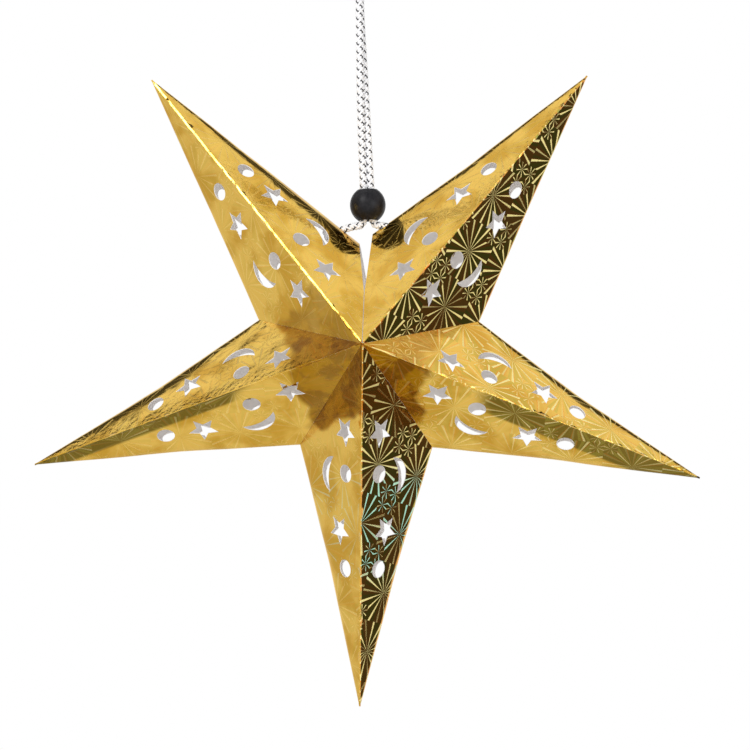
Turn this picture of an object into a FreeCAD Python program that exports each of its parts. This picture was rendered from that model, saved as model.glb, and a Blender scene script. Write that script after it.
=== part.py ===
import FreeCAD, Part

import math
import os

from FreeCAD import Vector

# A hanging star of folded foil card. Ten dart-shaped leaves are softly bent along
# their middle and glued edge to edge: two leaves make one hollow arm with a front
# and a back ridge, and neighbouring arms meet in valleys. The ring of leaves is
# open at the top, where a doubled cord through a stopper bead ties it shut.
# Millimetres, +Z up, front towards -Y, origin where the cord's loop hangs on a hook.

# Star
TIP_RADIUS = 158.0           # centre to the tip of an arm
NOTCH_RADIUS = 52.3          # centre to the corner between two arms
HALF_DEPTH = 50.2            # middle plane to the front or the back peak
CARD_THICKNESS = 0.35
SEAM_LIP = 1.0               # glued border that stands out of a ridge or into a valley
LIP_ROOT = 0.55              # how deep the ridge's lip starts inside the card

# Directions of the arms as the star hangs, in degrees, counter-clockwise from +X
RIGHT_ARM = -21.0
UPPER_RIGHT_ARM = 51.6
UPPER_LEFT_ARM = 128.4
LEFT_ARM = 198.4
BOTTOM_ARM = 268.6
MOUTH = 91.0                 # the open seam between the two upper arms

# The free edges meet below the mouth and lean back from each other above it
MOUTH_GAP = 0.3
MOUTH_FOOT_RADIUS = 25.0     # centre to the place where the free edges part
LEFT_EDGE_LEAN = 7.0
RIGHT_EDGE_LEAN = 5.5

# The soft bend between the front and the back half of a leaf: its outside radius
TIP_BEND = 0.5
NOTCH_BEND = 2.0
SOFTEST_BEND = 8.5           # at the middle of the leaf, where the bend is widest
SOFT_BEND = 7.0
MEDIUM_BEND = 5.0
TIGHT_BEND = 2.4
MIDDLE_BEND_SHARE = 0.45     # place of the widest bend, from the notch to the tip
LEFT_CORNER_BEND = 15.0      # the left free corner flares open
RIGHT_CORNER_BEND = 2.5

# Cut-outs of half a leaf: along the ridge from the peak, and away from the ridge
ROUND_HOLE_RADIUS = 4.0
OUTER_ROUND_HOLE = (104.6, 11.3)
INNER_ROUND_HOLE = (61.0, 11.3)
STAR_HOLE_RADIUS = 7.0
STAR_HOLE_INNER_SHARE = 0.46
STAR_HOLE_TURN = -6.0
STAR_HOLE_POINTS = 5
OUTER_STAR_HOLE = (87.8, 15.6)
INNER_STAR_HOLE = (42.0, 11.8)
CRESCENT_INNER_HORN = (55.0, 20.2)
CRESCENT_OUTER_HORN = (71.7, 22.6)
CRESCENT_BELLY = (63.9, 28.5)
CRESCENT_HOLLOW = (63.2, 23.7)

# Cord and bead. The route runs up the left strand, over the loop and down the right
# one; its places are X, Y and height from the star's centre.
CORD_DIAMETER = 3.0
CORD_HOLE_CLEARANCE = 0.5
CENTRE_BELOW_HOOK = 190.0
CENTRE_BESIDE_HOOK = 4.4
LEFT_KNOT_END = (-14.7, 0.0, 54.2)
LEFT_HOLE_OUTSIDE = (-7.4, 0.0, 57.0)
LEFT_BELOW_BEAD = (-1.75, 0.0, 57.1)
LEFT_IN_BEAD = (-2.1, 0.0, 71.0)
LEFT_STRAND = [(-3.7, -1.2, 115.0), (-4.0, -1.75, 159.0)]
LOOP = [(-4.3, -7.5, 175.0), (-4.4, -7.5, 191.5), (-4.4, 7.5, 191.5), (-4.3, 7.5, 175.0)]
RIGHT_STRAND = [(-4.0, 1.75, 159.0), (-1.3, 1.2, 115.0)]
RIGHT_IN_BEAD = (1.2, 0.0, 71.0)
RIGHT_BELOW_BEAD = (1.6, 0.0, 57.1)
RIGHT_HOLE_OUTSIDE = (7.7, 0.0, 57.2)
RIGHT_KNOT_END = (11.7, 0.0, 55.4)
BEND_SHARE = 0.45            # share of the shorter run that an arc uses on each side
KNOT_RADIUS = 3.4
KNOT_LENGTH = 6.0

BEAD_RADIUS = 8.05
BEAD_LENGTH = 14.0
BEAD_CENTRE_HEIGHT = 66.4    # above the star's centre
BEAD_BORE_RADIUS = 3.8
BEAD_MOUTH_ROUNDING = 0.6

CENTRE = Vector(CENTRE_BESIDE_HOOK, 0, -CENTRE_BELOW_HOOK)
FAR = 2 * TIP_RADIUS


def direction(degrees):
    """Unit vector in the star's plane."""
    angle = math.radians(degrees)
    return Vector(math.cos(angle), 0, math.sin(angle))


def mirrored(point):
    """The same place on the other side of the star's middle plane."""
    return Vector(point.x, -point.y, point.z)


def radial_wedge(from_degrees, to_degrees):
    """All space between two half planes that meet in the star's axis."""
    corners = [Vector(0, 0, 0)]
    for degrees in (from_degrees, (from_degrees + to_degrees) / 2, to_degrees):
        corners.append(direction(degrees) * FAR)
    return prism(corners)


def prism(corners):
    """A straight block through the whole depth of the star, with corners in its plane."""
    outline = Part.makePolygon(corners + corners[:1])
    outline.translate(Vector(0, -HALF_DEPTH * 2, 0))
    return Part.Face(outline).extrude(Vector(0, HALF_DEPTH * 4, 0))


def beyond_free_edge(lean):
    """All space past a leaf's free edge. A lean above 0 is to the left, below 0 to the right."""
    mouth = direction(MOUTH)
    aside = direction(MOUTH + math.copysign(90.0, lean))
    foot = aside * (MOUTH_GAP / 2) + mouth * MOUTH_FOOT_RADIUS
    corners = [
        foot - mouth * FAR,
        foot,
        foot + direction(MOUTH + lean) * FAR,
        foot + (mouth - aside) * FAR,
        foot - (mouth + aside) * FAR,
    ]
    return prism(corners)


class Leaf:
    """Half an arm: one dart of card between a ridge plane and a valley plane."""

    def __init__(self, arm, notch, bend, lean=None, corner_bend=NOTCH_BEND):
        self.arm = arm
        self.notch = notch
        self.bend = bend
        self.lean = lean
        self.corner_bend = corner_bend
        self.tip = direction(arm) * TIP_RADIUS
        self.corner = direction(notch) * NOTCH_RADIUS
        self.peak = Vector(0, -HALF_DEPTH, 0)
        self.along = (self.tip - self.corner).normalize()
        self.length = (self.tip - self.corner).Length
        reach = self.corner - self.along * self.corner.dot(self.along)
        self.outward = Vector(reach).normalize()
        self.slope = math.atan2(HALF_DEPTH, reach.Length)

    def section(self, station, radius):
        """Closed outline of the bent card, square to the bend line."""
        side = HALF_DEPTH / math.sin(self.slope)

        def place(inward, across):
            return self.corner + self.along * station - self.outward * inward + Vector(0, across, 0)

        centre = radius / math.sin(self.slope)
        edges = []
        ends = []
        for depth in (0.0, CARD_THICKNESS):
            inner = radius - depth
            apex = centre - inner / math.sin(self.slope)
            touch = inner / math.tan(self.slope)
            points = {}
            for hand in (-1, 1):
                for name, distance in (("far", side), ("near", touch)):
                    inward = apex + distance * math.cos(self.slope)
                    points[hand, name] = place(inward, hand * distance * math.sin(self.slope))
            crown = place(centre - inner, 0)
            edges.append([
                Part.LineSegment(points[-1, "far"], points[-1, "near"]).toShape(),
                Part.Arc(points[-1, "near"], crown, points[1, "near"]).toShape(),
                Part.LineSegment(points[1, "near"], points[1, "far"]).toShape(),
            ])
            ends.append((points[-1, "far"], points[1, "far"]))
        outer, inner = edges
        close_back = Part.LineSegment(ends[0][1], ends[1][1]).toShape()
        close_front = Part.LineSegment(ends[1][0], ends[0][0]).toShape()
        return Part.Wire(outer + [close_back] + inner[::-1] + [close_front])

    def bent_sheet(self):
        """The card bent round its soft fold, wider in the middle than at its ends."""
        beyond = self.corner.Length
        stations = [
            (-beyond, self.corner_bend),
            (0.0, self.corner_bend),
            (self.length * MIDDLE_BEND_SHARE, self.bend),
            (self.length, TIP_BEND),
            (self.length + beyond, TIP_BEND),
        ]
        sections = [self.section(station, radius) for station, radius in stations]
        return Part.makeLoft(sections, True, True)

    def lip(self, end, hand, low, high):
        """Glued border along the seam from a peak to end, between two heights over it."""
        run = end - self.peak
        stand = Vector(run.y * end.x, -(run.x * end.x + run.z * end.z), run.y * end.z)
        stand = stand.normalize()
        corners = [self.peak + stand * low, end + stand * low, end + stand * high, self.peak + stand * high]
        if hand > 0:
            corners = [mirrored(corner) for corner in corners]
        face = Part.Face(Part.makePolygon(corners + corners[:1]))
        across = Vector(-end.z, 0, end.x).normalize()
        if across.dot(self.corner + self.tip - end) < 0:
            across = -across
        return face.extrude(across * CARD_THICKNESS)

    def on_face(self, place, hand):
        """A place in the flat pattern, carried to the front or the back face."""
        ridge = (self.tip - self.peak).normalize()
        edge = self.corner - self.peak
        away = (edge - ridge * edge.dot(ridge)).normalize()
        point = self.peak + ridge * place[0] + away * place[1]
        return point if hand < 0 else mirrored(point)

    def cutters(self, hand):
        """Prisms through one face: two round holes, two stars and a crescent."""
        outlines = []
        for place in (OUTER_STAR_HOLE, INNER_STAR_HOLE):
            points = []
            for step in range(2 * STAR_HOLE_POINTS):
                radius = STAR_HOLE_RADIUS * (STAR_HOLE_INNER_SHARE if step % 2 else 1)
                angle = math.radians(STAR_HOLE_TURN + 180.0 * step / STAR_HOLE_POINTS)
                spot = (place[0] + radius * math.cos(angle), place[1] + radius * math.sin(angle))
                points.append(self.on_face(spot, hand))
            outlines.append(Part.makePolygon(points + points[:1]))
        horns = [self.on_face(spot, hand) for spot in (CRESCENT_INNER_HORN, CRESCENT_OUTER_HORN)]
        belly = Part.Arc(horns[0], self.on_face(CRESCENT_BELLY, hand), horns[1])
        hollow = Part.Arc(horns[1], self.on_face(CRESCENT_HOLLOW, hand), horns[0])
        outlines.append(Part.Wire([belly.toShape(), hollow.toShape()]))
        for place in (OUTER_ROUND_HOLE, INNER_ROUND_HOLE):
            rim = []
            for quarter in range(4):
                angle = math.radians(90.0 * quarter)
                spot = (place[0] + ROUND_HOLE_RADIUS * math.cos(angle),
                        place[1] + ROUND_HOLE_RADIUS * math.sin(angle))
                rim.append(self.on_face(spot, hand))
            first = Part.Arc(rim[0], rim[1], rim[2])
            second = Part.Arc(rim[2], rim[3], rim[0])
            outlines.append(Part.Wire([first.toShape(), second.toShape()]))
        face_normal = (self.tip - self.peak).cross(self.corner - self.peak).normalize()
        if hand > 0:
            face_normal = mirrored(face_normal)
        through = face_normal * (4 * CARD_THICKNESS)
        tools = []
        for outline in outlines:
            outline.translate(-through)
            tools.append(Part.Face(outline).extrude(through * 2))
        return tools

    def build(self, cord_passage=None):
        """The finished leaf, with its lips and cut-outs, in the part's frame."""
        parts = []
        for hand in (-1, 1):
            parts.append(self.lip(self.tip, hand, -LIP_ROOT, SEAM_LIP))
            if self.lean is None:
                parts.append(self.lip(self.corner, hand, -SEAM_LIP, 0.0))
        shape = self.bent_sheet().fuse(parts)
        shape = shape.common(radial_wedge(self.arm, self.notch))
        tools = self.cutters(-1) + self.cutters(1)
        if self.lean is not None:
            tools.append(beyond_free_edge(self.lean))
        if cord_passage:
            tools.append(cord_passage)
        shape = shape.cut(tools).removeSplitter()
        shape.translate(CENTRE)
        return shape.Solids[0] if len(shape.Solids) == 1 else shape


def between(first, second):
    """The valley direction half way between two arms."""
    return (first + second) / 2


def rounded_path(places):
    """Straight runs joined by arcs that touch both of their runs."""
    points = [Vector(*place) for place in places]
    edges = []
    radii = []
    last = points[0]
    for before, corner, after in zip(points, points[1:], points[2:]):
        inward = (before - corner).normalize()
        outward = (after - corner).normalize()
        turn = math.pi - inward.getAngle(outward)
        reach = BEND_SHARE * min((corner - before).Length, (after - corner).Length)
        radius = reach / math.tan(turn / 2)
        start = corner + inward * reach
        end = corner + outward * reach
        bisector = (inward + outward).normalize()
        middle = corner + bisector * (radius / math.cos(turn / 2) - radius)
        edges.append(Part.LineSegment(last, start).toShape())
        edges.append(Part.Arc(start, middle, end).toShape())
        radii.append(radius)
        last = end
    edges.append(Part.LineSegment(last, points[-1]).toShape())
    return Part.Wire(edges), radii


def tube(places, diameter):
    """A plain round cord along a rounded path."""
    path, radii = rounded_path(places)
    first = path.Edges[0]
    start = first.valueAt(first.FirstParameter)
    rim = Part.Wire(Part.makeCircle(diameter / 2, start, first.tangentAt(first.FirstParameter)))
    solid = path.makePipeShell([rim], True, False)
    section = math.pi * diameter ** 2 / 4
    print("tube", diameter, "mm thick,", round(path.Length, 1), "mm long, bend radii", [round(r, 1) for r in radii])
    print("its volume over section times length", round(solid.Volume / section / path.Length, 4))
    return solid


def knot(before, end):
    """A stopper knot on the cord's end, inside the leaf: a rounded barrel."""
    last = CENTRE + Vector(*end)
    axis = (last - CENTRE - Vector(*before)).normalize()
    barrel = Part.makeSphere(KNOT_RADIUS, last + axis * (KNOT_LENGTH / 2), axis)
    slab = Part.makeCylinder(KNOT_RADIUS, KNOT_LENGTH, last, axis)
    return barrel.common(slab)


def bead():
    """A ball with a wide bore for both strands, its mouths rounded."""
    low = (Vector(*LEFT_IN_BEAD) + Vector(*RIGHT_IN_BEAD)) / 2
    high = (Vector(*LEFT_STRAND[-1]) + Vector(*RIGHT_STRAND[0])) / 2
    axis = (high - low).normalize()
    middle = CENTRE + low + axis * ((BEAD_CENTRE_HEIGHT - low.z) / axis.z)
    half = BEAD_LENGTH / 2
    mouth = BEAD_BORE_RADIUS + BEAD_MOUTH_ROUNDING
    bend = BEAD_MOUTH_ROUNDING * (1 - math.sqrt(0.5))
    wall = [Vector(BEAD_BORE_RADIUS, 0, hand * (half - BEAD_MOUTH_ROUNDING)) for hand in (-1, 1)]
    turn = [Vector(BEAD_BORE_RADIUS + bend, 0, hand * (half - bend)) for hand in (-1, 1)]
    rim = [Vector(mouth, 0, hand * half) for hand in (-1, 1)]
    outline = Part.Wire([
        Part.LineSegment(wall[0], wall[1]).toShape(),
        Part.Arc(wall[1], turn[1], rim[1]).toShape(),
        Part.Arc(rim[1], Vector(BEAD_RADIUS, 0, 0), rim[0]).toShape(),
        Part.Arc(rim[0], turn[0], wall[0]).toShape(),
    ])
    solid = Part.Face(outline).revolve(Vector(0, 0, 0), Vector(0, 0, 1), 360)
    solid.Placement = FreeCAD.Placement(middle, FreeCAD.Rotation(Vector(0, 0, 1), axis))
    print("bead axis", [round(value, 5) for value in axis])
    return solid


def save(name, shape):
    """Write one node and print how sound it is."""
    print(name, "solids", len(shape.Solids), "valid", shape.isValid(), "volume", round(shape.Volume, 1))
    shape.exportStep("parts/" + name + ".step")


os.makedirs("parts", exist_ok=True)

ROUTE = [LEFT_KNOT_END, LEFT_HOLE_OUTSIDE, LEFT_BELOW_BEAD, LEFT_IN_BEAD]
ROUTE += LEFT_STRAND + LOOP + RIGHT_STRAND
ROUTE += [RIGHT_IN_BEAD, RIGHT_BELOW_BEAD, RIGHT_HOLE_OUTSIDE, RIGHT_KNOT_END]
CORD = tube(ROUTE, CORD_DIAMETER)
PASSAGE = tube(ROUTE, CORD_DIAMETER + 2 * CORD_HOLE_CLEARANCE)

LEFT_NOTCH = between(UPPER_LEFT_ARM, LEFT_ARM)
LOWER_LEFT_NOTCH = between(LEFT_ARM, BOTTOM_ARM)
LOWER_RIGHT_NOTCH = between(BOTTOM_ARM - 360, RIGHT_ARM)
RIGHT_NOTCH = between(RIGHT_ARM, UPPER_RIGHT_ARM)
LEAVES = {
    "upper_left_arm_top_leaf": Leaf(UPPER_LEFT_ARM, MOUTH, SOFTEST_BEND, LEFT_EDGE_LEAN, LEFT_CORNER_BEND),
    "upper_left_arm_side_leaf": Leaf(UPPER_LEFT_ARM, LEFT_NOTCH, TIGHT_BEND),
    "left_arm_top_leaf": Leaf(LEFT_ARM, LEFT_NOTCH, SOFT_BEND),
    "left_arm_under_leaf": Leaf(LEFT_ARM, LOWER_LEFT_NOTCH, MEDIUM_BEND),
    "bottom_arm_left_leaf": Leaf(BOTTOM_ARM, LOWER_LEFT_NOTCH, MEDIUM_BEND),
    "bottom_arm_right_leaf": Leaf(BOTTOM_ARM - 360, LOWER_RIGHT_NOTCH, MEDIUM_BEND),
    "right_arm_under_leaf": Leaf(RIGHT_ARM, LOWER_RIGHT_NOTCH, MEDIUM_BEND),
    "right_arm_top_leaf": Leaf(RIGHT_ARM, RIGHT_NOTCH, SOFT_BEND),
    "upper_right_arm_side_leaf": Leaf(UPPER_RIGHT_ARM, RIGHT_NOTCH, TIGHT_BEND),
    "upper_right_arm_top_leaf": Leaf(UPPER_RIGHT_ARM, MOUTH, MEDIUM_BEND, -RIGHT_EDGE_LEAN, RIGHT_CORNER_BEND),
}
for name, leaf in LEAVES.items():
    save(name, leaf.build(None if leaf.lean is None else PASSAGE))

CORD.translate(CENTRE)
save("hanging_cord", CORD)
save("left_cord_knot", knot(LEFT_HOLE_OUTSIDE, LEFT_KNOT_END))
save("right_cord_knot", knot(RIGHT_HOLE_OUTSIDE, RIGHT_KNOT_END))
save("stopper_bead", bead())
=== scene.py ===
import math

import bmesh
import bpy
from mathutils import Matrix, Vector, noise
from mathutils.geometry import intersect_line_line


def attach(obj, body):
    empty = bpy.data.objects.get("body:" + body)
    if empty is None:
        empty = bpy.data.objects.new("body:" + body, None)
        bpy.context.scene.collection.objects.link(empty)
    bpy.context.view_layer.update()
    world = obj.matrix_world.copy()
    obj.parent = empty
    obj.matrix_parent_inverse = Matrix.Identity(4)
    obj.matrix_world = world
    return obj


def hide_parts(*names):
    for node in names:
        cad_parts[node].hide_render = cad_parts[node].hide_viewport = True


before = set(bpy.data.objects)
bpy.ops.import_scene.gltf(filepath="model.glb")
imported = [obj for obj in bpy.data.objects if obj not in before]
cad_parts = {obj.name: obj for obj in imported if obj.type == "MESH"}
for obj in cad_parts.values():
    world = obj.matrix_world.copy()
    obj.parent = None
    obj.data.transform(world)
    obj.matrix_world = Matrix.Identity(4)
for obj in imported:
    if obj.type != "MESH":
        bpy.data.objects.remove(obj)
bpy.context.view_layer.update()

# Leaves of foil card
# Ten darts of thin white card faced with gold foil, two to an arm. Each is die-cut flat with two
# stars, two discs and a crescent in each half, then bent softly along its middle and glued to its
# neighbours by narrow lips, which stand out of the ridges and into the valleys.
STAR_CENTRE = Vector((0.0044, 0.0, -0.190))
TIP_RADIUS = 0.158
NOTCH_RADIUS = 0.0523
HALF_DEPTH = 0.0502
CARD_THICKNESS = 0.00035
SEAM_LIP = 0.0010
GLUE_LINE = 0.00002
RIDGE_GAP = CARD_THICKNESS + GLUE_LINE
FRONT_TO_BACK = Vector((0.0, 1.0, 0.0))

RIGHT_ARM = -21.0
UPPER_RIGHT_ARM = 51.6
UPPER_LEFT_ARM = 128.4
LEFT_ARM = 198.4
BOTTOM_ARM = 268.6
MOUTH = 91.0

MOUTH_GAP = 0.0003           # the free edges meet below the mouth and lean apart above it
MOUTH_FOOT_RADIUS = 0.025
LEFT_EDGE_LEAN = 7.0
RIGHT_EDGE_LEAN = 5.5

TIP_BEND = 0.0005            # outside radius of the soft bend at the tip, middle and notch
SOFTEST_BEND = 0.0085
SOFT_BEND = 0.0070
MEDIUM_BEND = 0.0050
TIGHT_BEND = 0.0024
NOTCH_BEND = 0.0020
LEFT_CORNER_BEND = 0.0150
RIGHT_CORNER_BEND = 0.0025
MIDDLE_BEND_SHARE = 0.45
TIP_LAP = 0.0016             # length that the card's thickness takes off a tip
BEND_TAIL = 0.34             # how gradually a bend dies out in the flat card, in bend radii
PROFILE_STEP = 0.1
PROFILE_STEPS = 80
RIDGE_BOW_REACH = 0.009      # the card bulges a little beside a ridge's glued lips
RIDGE_BOW_END = 0.026
RIDGE_BOW_FADE = 0.010       # and dies out this far from the other seam

DISC_RADIUS = 0.0040
OUTER_DISC = (0.1046, 0.0113)
INNER_DISC = (0.0610, 0.0113)
STAR_RADIUS = 0.0070
STAR_WAIST = 0.46
STAR_TURN = -6.0
OUTER_STAR = (0.0878, 0.0156)
INNER_STAR = (0.0420, 0.0118)
CRESCENT_INNER_HORN = (0.0550, 0.0202)
CRESCENT_OUTER_HORN = (0.0717, 0.0226)
CRESCENT_BELLY = (0.0639, 0.0285)
CRESCENT_HOLLOW = (0.0632, 0.0237)
CRESCENT_STEPS = 10

BLANK_MARGIN = 0.006         # card left round the outline, which the seams then cut off
GRID_ALONG = 0.0021          # size of the sheet's facets
GRID_ACROSS = 0.0021
GRID_AT_BEND = 0.0007        # and of the narrower ones round the bend
BEND_REACH = 0.0075

WAVE_HEIGHT = 0.00022        # how far the card's faces wander from flat
WAVE_LENGTH = 0.034
WAVE_REACH = 0.012           # the waves grow from nothing at a seam to full height here
CRINKLE_HEIGHT = 0.00016     # creases left by pressing the seams
CRINKLE_LENGTH = 0.0030
CRINKLE_REACH = 0.0050
LIP_WANDER = 0.00022
CRISP_ANGLE = 38.0           # edges that turn by more than this stay crisp


def direction(degrees):
    """Unit vector in the star's plane."""
    angle = math.radians(degrees)
    return Vector((math.cos(angle), 0.0, math.sin(angle)))


def between(low, high, value):
    """0 below low, 1 above high, and a soft step between them."""
    share = min(1.0, max(0.0, (value - low) / (high - low)))
    return share * share * (3.0 - 2.0 * share)


class Leaf:
    """Where one leaf lies: its bend line from notch to tip, and its two seams."""

    def __init__(self, arm, notch, bend, lean=None, corner_bend=NOTCH_BEND):
        self.arm = direction(arm)
        self.edge = direction(notch)
        self.bend = bend
        self.lean = lean
        self.corner_bend = corner_bend
        self.corner = self.edge * NOTCH_RADIUS
        tip = self.arm * (TIP_RADIUS + TIP_LAP)
        self.along = (tip - self.corner).normalized()
        self.length = (tip - self.corner).length
        self.foot = -self.corner.dot(self.along)
        reach = self.corner + self.along * self.foot
        self.outward = reach.normalized()
        self.slope = math.atan2(HALF_DEPTH, reach.length)
        self.side = math.hypot(HALF_DEPTH, reach.length)
        full_turn = math.pi / 2.0 - self.slope
        inward = 0.0
        across = 0.0
        self.profile = [(inward, across)]
        for step in range(PROFILE_STEPS):
            turn = full_turn * (1.0 - math.exp(-(step + 0.5) * PROFILE_STEP))
            inward += math.sin(turn) * PROFILE_STEP
            across += math.cos(turn) * PROFILE_STEP
            self.profile.append((inward, across))
        self.crown = across * math.tan(full_turn) - inward
        self.saved = across / math.cos(full_turn) - PROFILE_STEPS * PROFILE_STEP
        self.from_ridge = (self.corner - self.arm * self.corner.dot(self.arm)).normalized()
        self.from_edge = (tip - self.edge * tip.dot(self.edge)).normalized()

    def bend_radius(self, station):
        """Rough outside radius of the soft bend, widest near the middle of the leaf."""
        middle = self.length * MIDDLE_BEND_SHARE
        if station < middle:
            share = max(0.0, station / middle)
            return self.corner_bend + (self.bend - self.corner_bend) * share
        share = min(1.0, (station - middle) / (self.length - middle))
        return self.bend + (TIP_BEND - self.bend) * share

    def fold(self, flat):
        """Carries a point of the flat blank to its place on the bent leaf."""
        spread = self.bend_radius(flat.x) * BEND_TAIL
        distance = abs(flat.y)
        saved = self.saved * spread
        steps = (distance - saved * (1.0 - math.exp(-distance / (2.0 * saved)))) / spread / PROFILE_STEP
        if steps < PROFILE_STEPS:
            index = int(steps)
            share = steps - index
            low, high = self.profile[index:index + 2]
            inward = (self.crown + low[0] + (high[0] - low[0]) * share) * spread
            across = (low[1] + (high[1] - low[1]) * share) * spread
        else:
            inward = distance * math.cos(self.slope)
            across = distance * math.sin(self.slope)
        place = STAR_CENTRE + self.corner + self.along * flat.x - self.outward * inward
        return place + FRONT_TO_BACK * math.copysign(across, flat.y)

    def pattern_point(self, place):
        """A place measured along and away from the ridge, on the flat front half."""
        ridge = Vector((self.length - self.foot, self.side, 0.0)).normalized()
        away = Vector((-ridge.y, ridge.x, 0.0))
        return Vector((self.foot, -self.side, 0.0)) + ridge * place[0] + away * place[1]

    def ridge_turn(self):
        """Angle of the ridge on the flat front half."""
        return math.atan2(self.side, self.length - self.foot)

    def trims(self):
        """Planes that cut the bent sheet to its seams: a normal towards the leaf, and a place."""
        planes = [(self.from_ridge, STAR_CENTRE + self.from_ridge * RIDGE_GAP)]
        if self.lean is None:
            planes.append((self.from_edge, STAR_CENTRE + self.from_edge * GLUE_LINE))
        else:
            foot = STAR_CENTRE + self.edge * MOUTH_FOOT_RADIUS + self.from_edge * (MOUTH_GAP / 2.0)
            planes.append((self.from_edge, foot))
            planes.append((direction(MOUTH + self.lean + math.copysign(90.0, self.lean)), foot))
        return planes


def cut_disc(bm, leaf, place):
    """Rim of a round hole."""
    at = Matrix.Translation(leaf.pattern_point(place))
    bmesh.ops.create_circle(bm, segments=30, radius=DISC_RADIUS, matrix=at)


def cut_star(bm, leaf, place):
    """Rim of a five-pointed star hole."""
    at = leaf.pattern_point(place)
    turn = Matrix.Rotation(leaf.ridge_turn() + math.radians(STAR_TURN - 90.0), 4, "Z")
    rim = bmesh.ops.create_circle(bm, segments=10, radius=STAR_RADIUS, matrix=Matrix.Translation(at) @ turn)
    for waist in rim["verts"][1::2]:
        waist.co = at + (waist.co - at) * STAR_WAIST


def cut_arc(bm, first, through, last):
    """Arc from first to last by spinning a vertex round the circle through three points."""
    to_through = through - first
    to_last = last - first
    across = to_through.cross(to_last)
    arm = across.cross(to_through) * to_last.length_squared
    arm += to_last.cross(across) * to_through.length_squared
    middle = first + arm / (2.0 * across.length_squared)
    start = first - middle
    end = last - middle
    angle = math.atan2(start.cross(end).z, start.dot(end))
    if angle * across.z < 0.0:
        angle += math.copysign(2.0 * math.pi, across.z)
    dot = bm.verts.new(first)
    bmesh.ops.spin(bm, geom=[dot], cent=middle, axis=(0, 0, 1), angle=angle, steps=CRESCENT_STEPS)


def flat_blank(leaf, cord_hole):
    """The die-cut leaf before bending: X along the bend from the notch, Y from front to back."""
    bm = bmesh.new()
    for place in (OUTER_DISC, INNER_DISC):
        cut_disc(bm, leaf, place)
    for place in (OUTER_STAR, INNER_STAR):
        cut_star(bm, leaf, place)
    horns = [leaf.pattern_point(place) for place in (CRESCENT_INNER_HORN, CRESCENT_OUTER_HORN)]
    cut_arc(bm, horns[0], leaf.pattern_point(CRESCENT_BELLY), horns[1])
    cut_arc(bm, horns[1], leaf.pattern_point(CRESCENT_HOLLOW), horns[0])
    bmesh.ops.remove_doubles(bm, verts=bm.verts, dist=GLUE_LINE)
    peak = Vector((leaf.foot - BLANK_MARGIN, -leaf.side - BLANK_MARGIN, 0.0))
    corners = [Vector((-2.0 * BLANK_MARGIN, 0.0, 0.0)), peak, Vector((leaf.length + BLANK_MARGIN, 0.0, 0.0))]
    outline = [bm.verts.new(corner) for corner in corners]
    bm.edges.new((outline[0], outline[1]))
    bm.edges.new((outline[1], outline[2]))
    if cord_hole is None:
        bm.edges.new((outline[2], outline[0]))
    else:
        station, half_width, half_length = cord_hole
        shape = Matrix.Translation((station, 0.0, 0.0)) @ Matrix.Diagonal((half_length, half_width, 1.0, 1.0))
        rim = bmesh.ops.create_circle(bm, segments=24, radius=1.0, matrix=shape)["verts"]
        extra = [vert for vert in rim if vert.co.y > GLUE_LINE]
        rim = sorted((vert for vert in rim if vert.co.y <= GLUE_LINE), key=lambda vert: vert.co.x)
        bmesh.ops.delete(bm, geom=extra, context="VERTS")
        bm.edges.new((outline[0], rim[0]))
        bm.edges.new((rim[-1], outline[2]))
    bmesh.ops.triangle_fill(bm, use_beauty=True, edges=bm.edges[:], normal=(0, 0, 1))
    lines = []
    step = -2.0 * BLANK_MARGIN - leaf.side
    while step < leaf.length + BLANK_MARGIN:
        lines.append(((step, 0, 0), (1, 0, 0)))
        step += GRID_ALONG
    step = 0.0
    while step < leaf.side + BLANK_MARGIN:
        step += GRID_AT_BEND if step < BEND_REACH else GRID_ACROSS
        lines.append(((0, -step, 0), (0, 1, 0)))
    for place, normal in lines:
        everything = bm.verts[:] + bm.edges[:] + bm.faces[:]
        bmesh.ops.bisect_plane(bm, geom=everything, dist=1e-7, plane_co=place, plane_no=normal)
    bmesh.ops.mirror(bm, geom=bm.verts[:] + bm.edges[:] + bm.faces[:], merge_dist=1e-6, axis="Y")
    for face in bm.faces:
        face.normal_update()
        if face.normal.z < 0.0:
            face.normal_flip()
    return bm


def seam_wander(leaf, place, seam, size):
    """Small wandering that is the same on both sides of a seam."""
    offset = place - STAR_CENTRE
    spot = Vector((offset.dot(seam), offset.y, seam.x * 0.05 + seam.z * 0.03))
    return noise.noise(spot / CRINKLE_LENGTH) * size


def seam_lip(bm, leaf, normal, gap, seam, sign):
    """Folds a narrow lip of card along one seam, out of a ridge or into a valley."""
    rim = []
    for edge in bm.edges:
        off_seam = [abs((vert.co - STAR_CENTRE).dot(normal) - gap) for vert in edge.verts]
        if edge.is_boundary and max(off_seam) < GLUE_LINE:
            rim.append(edge)
    reach = TIP_RADIUS if sign > 0 else NOTCH_RADIUS
    span = math.hypot(reach, HALF_DEPTH)
    lip = bmesh.ops.extrude_edge_only(bm, edges=rim)
    turning = leaf.bend_radius(leaf.length if sign > 0 else 0.0)
    for vert in [item for item in lip["geom"] if isinstance(item, bmesh.types.BMVert)]:
        share = max(-1.0, min(1.0, vert.co.y / turning))
        outward = HALF_DEPTH / span
        outward += (1.0 - abs(share)) * (1.0 - outward)
        stand = seam * outward + FRONT_TO_BACK * (share * reach / span)
        height = SEAM_LIP + seam_wander(leaf, vert.co, seam, LIP_WANDER)
        lean = Vector((-seam.z, 0.0, seam.x)) * seam_wander(leaf, vert.co + stand, seam, LIP_WANDER)
        vert.co += stand.normalized() * height * sign + lean


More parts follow.
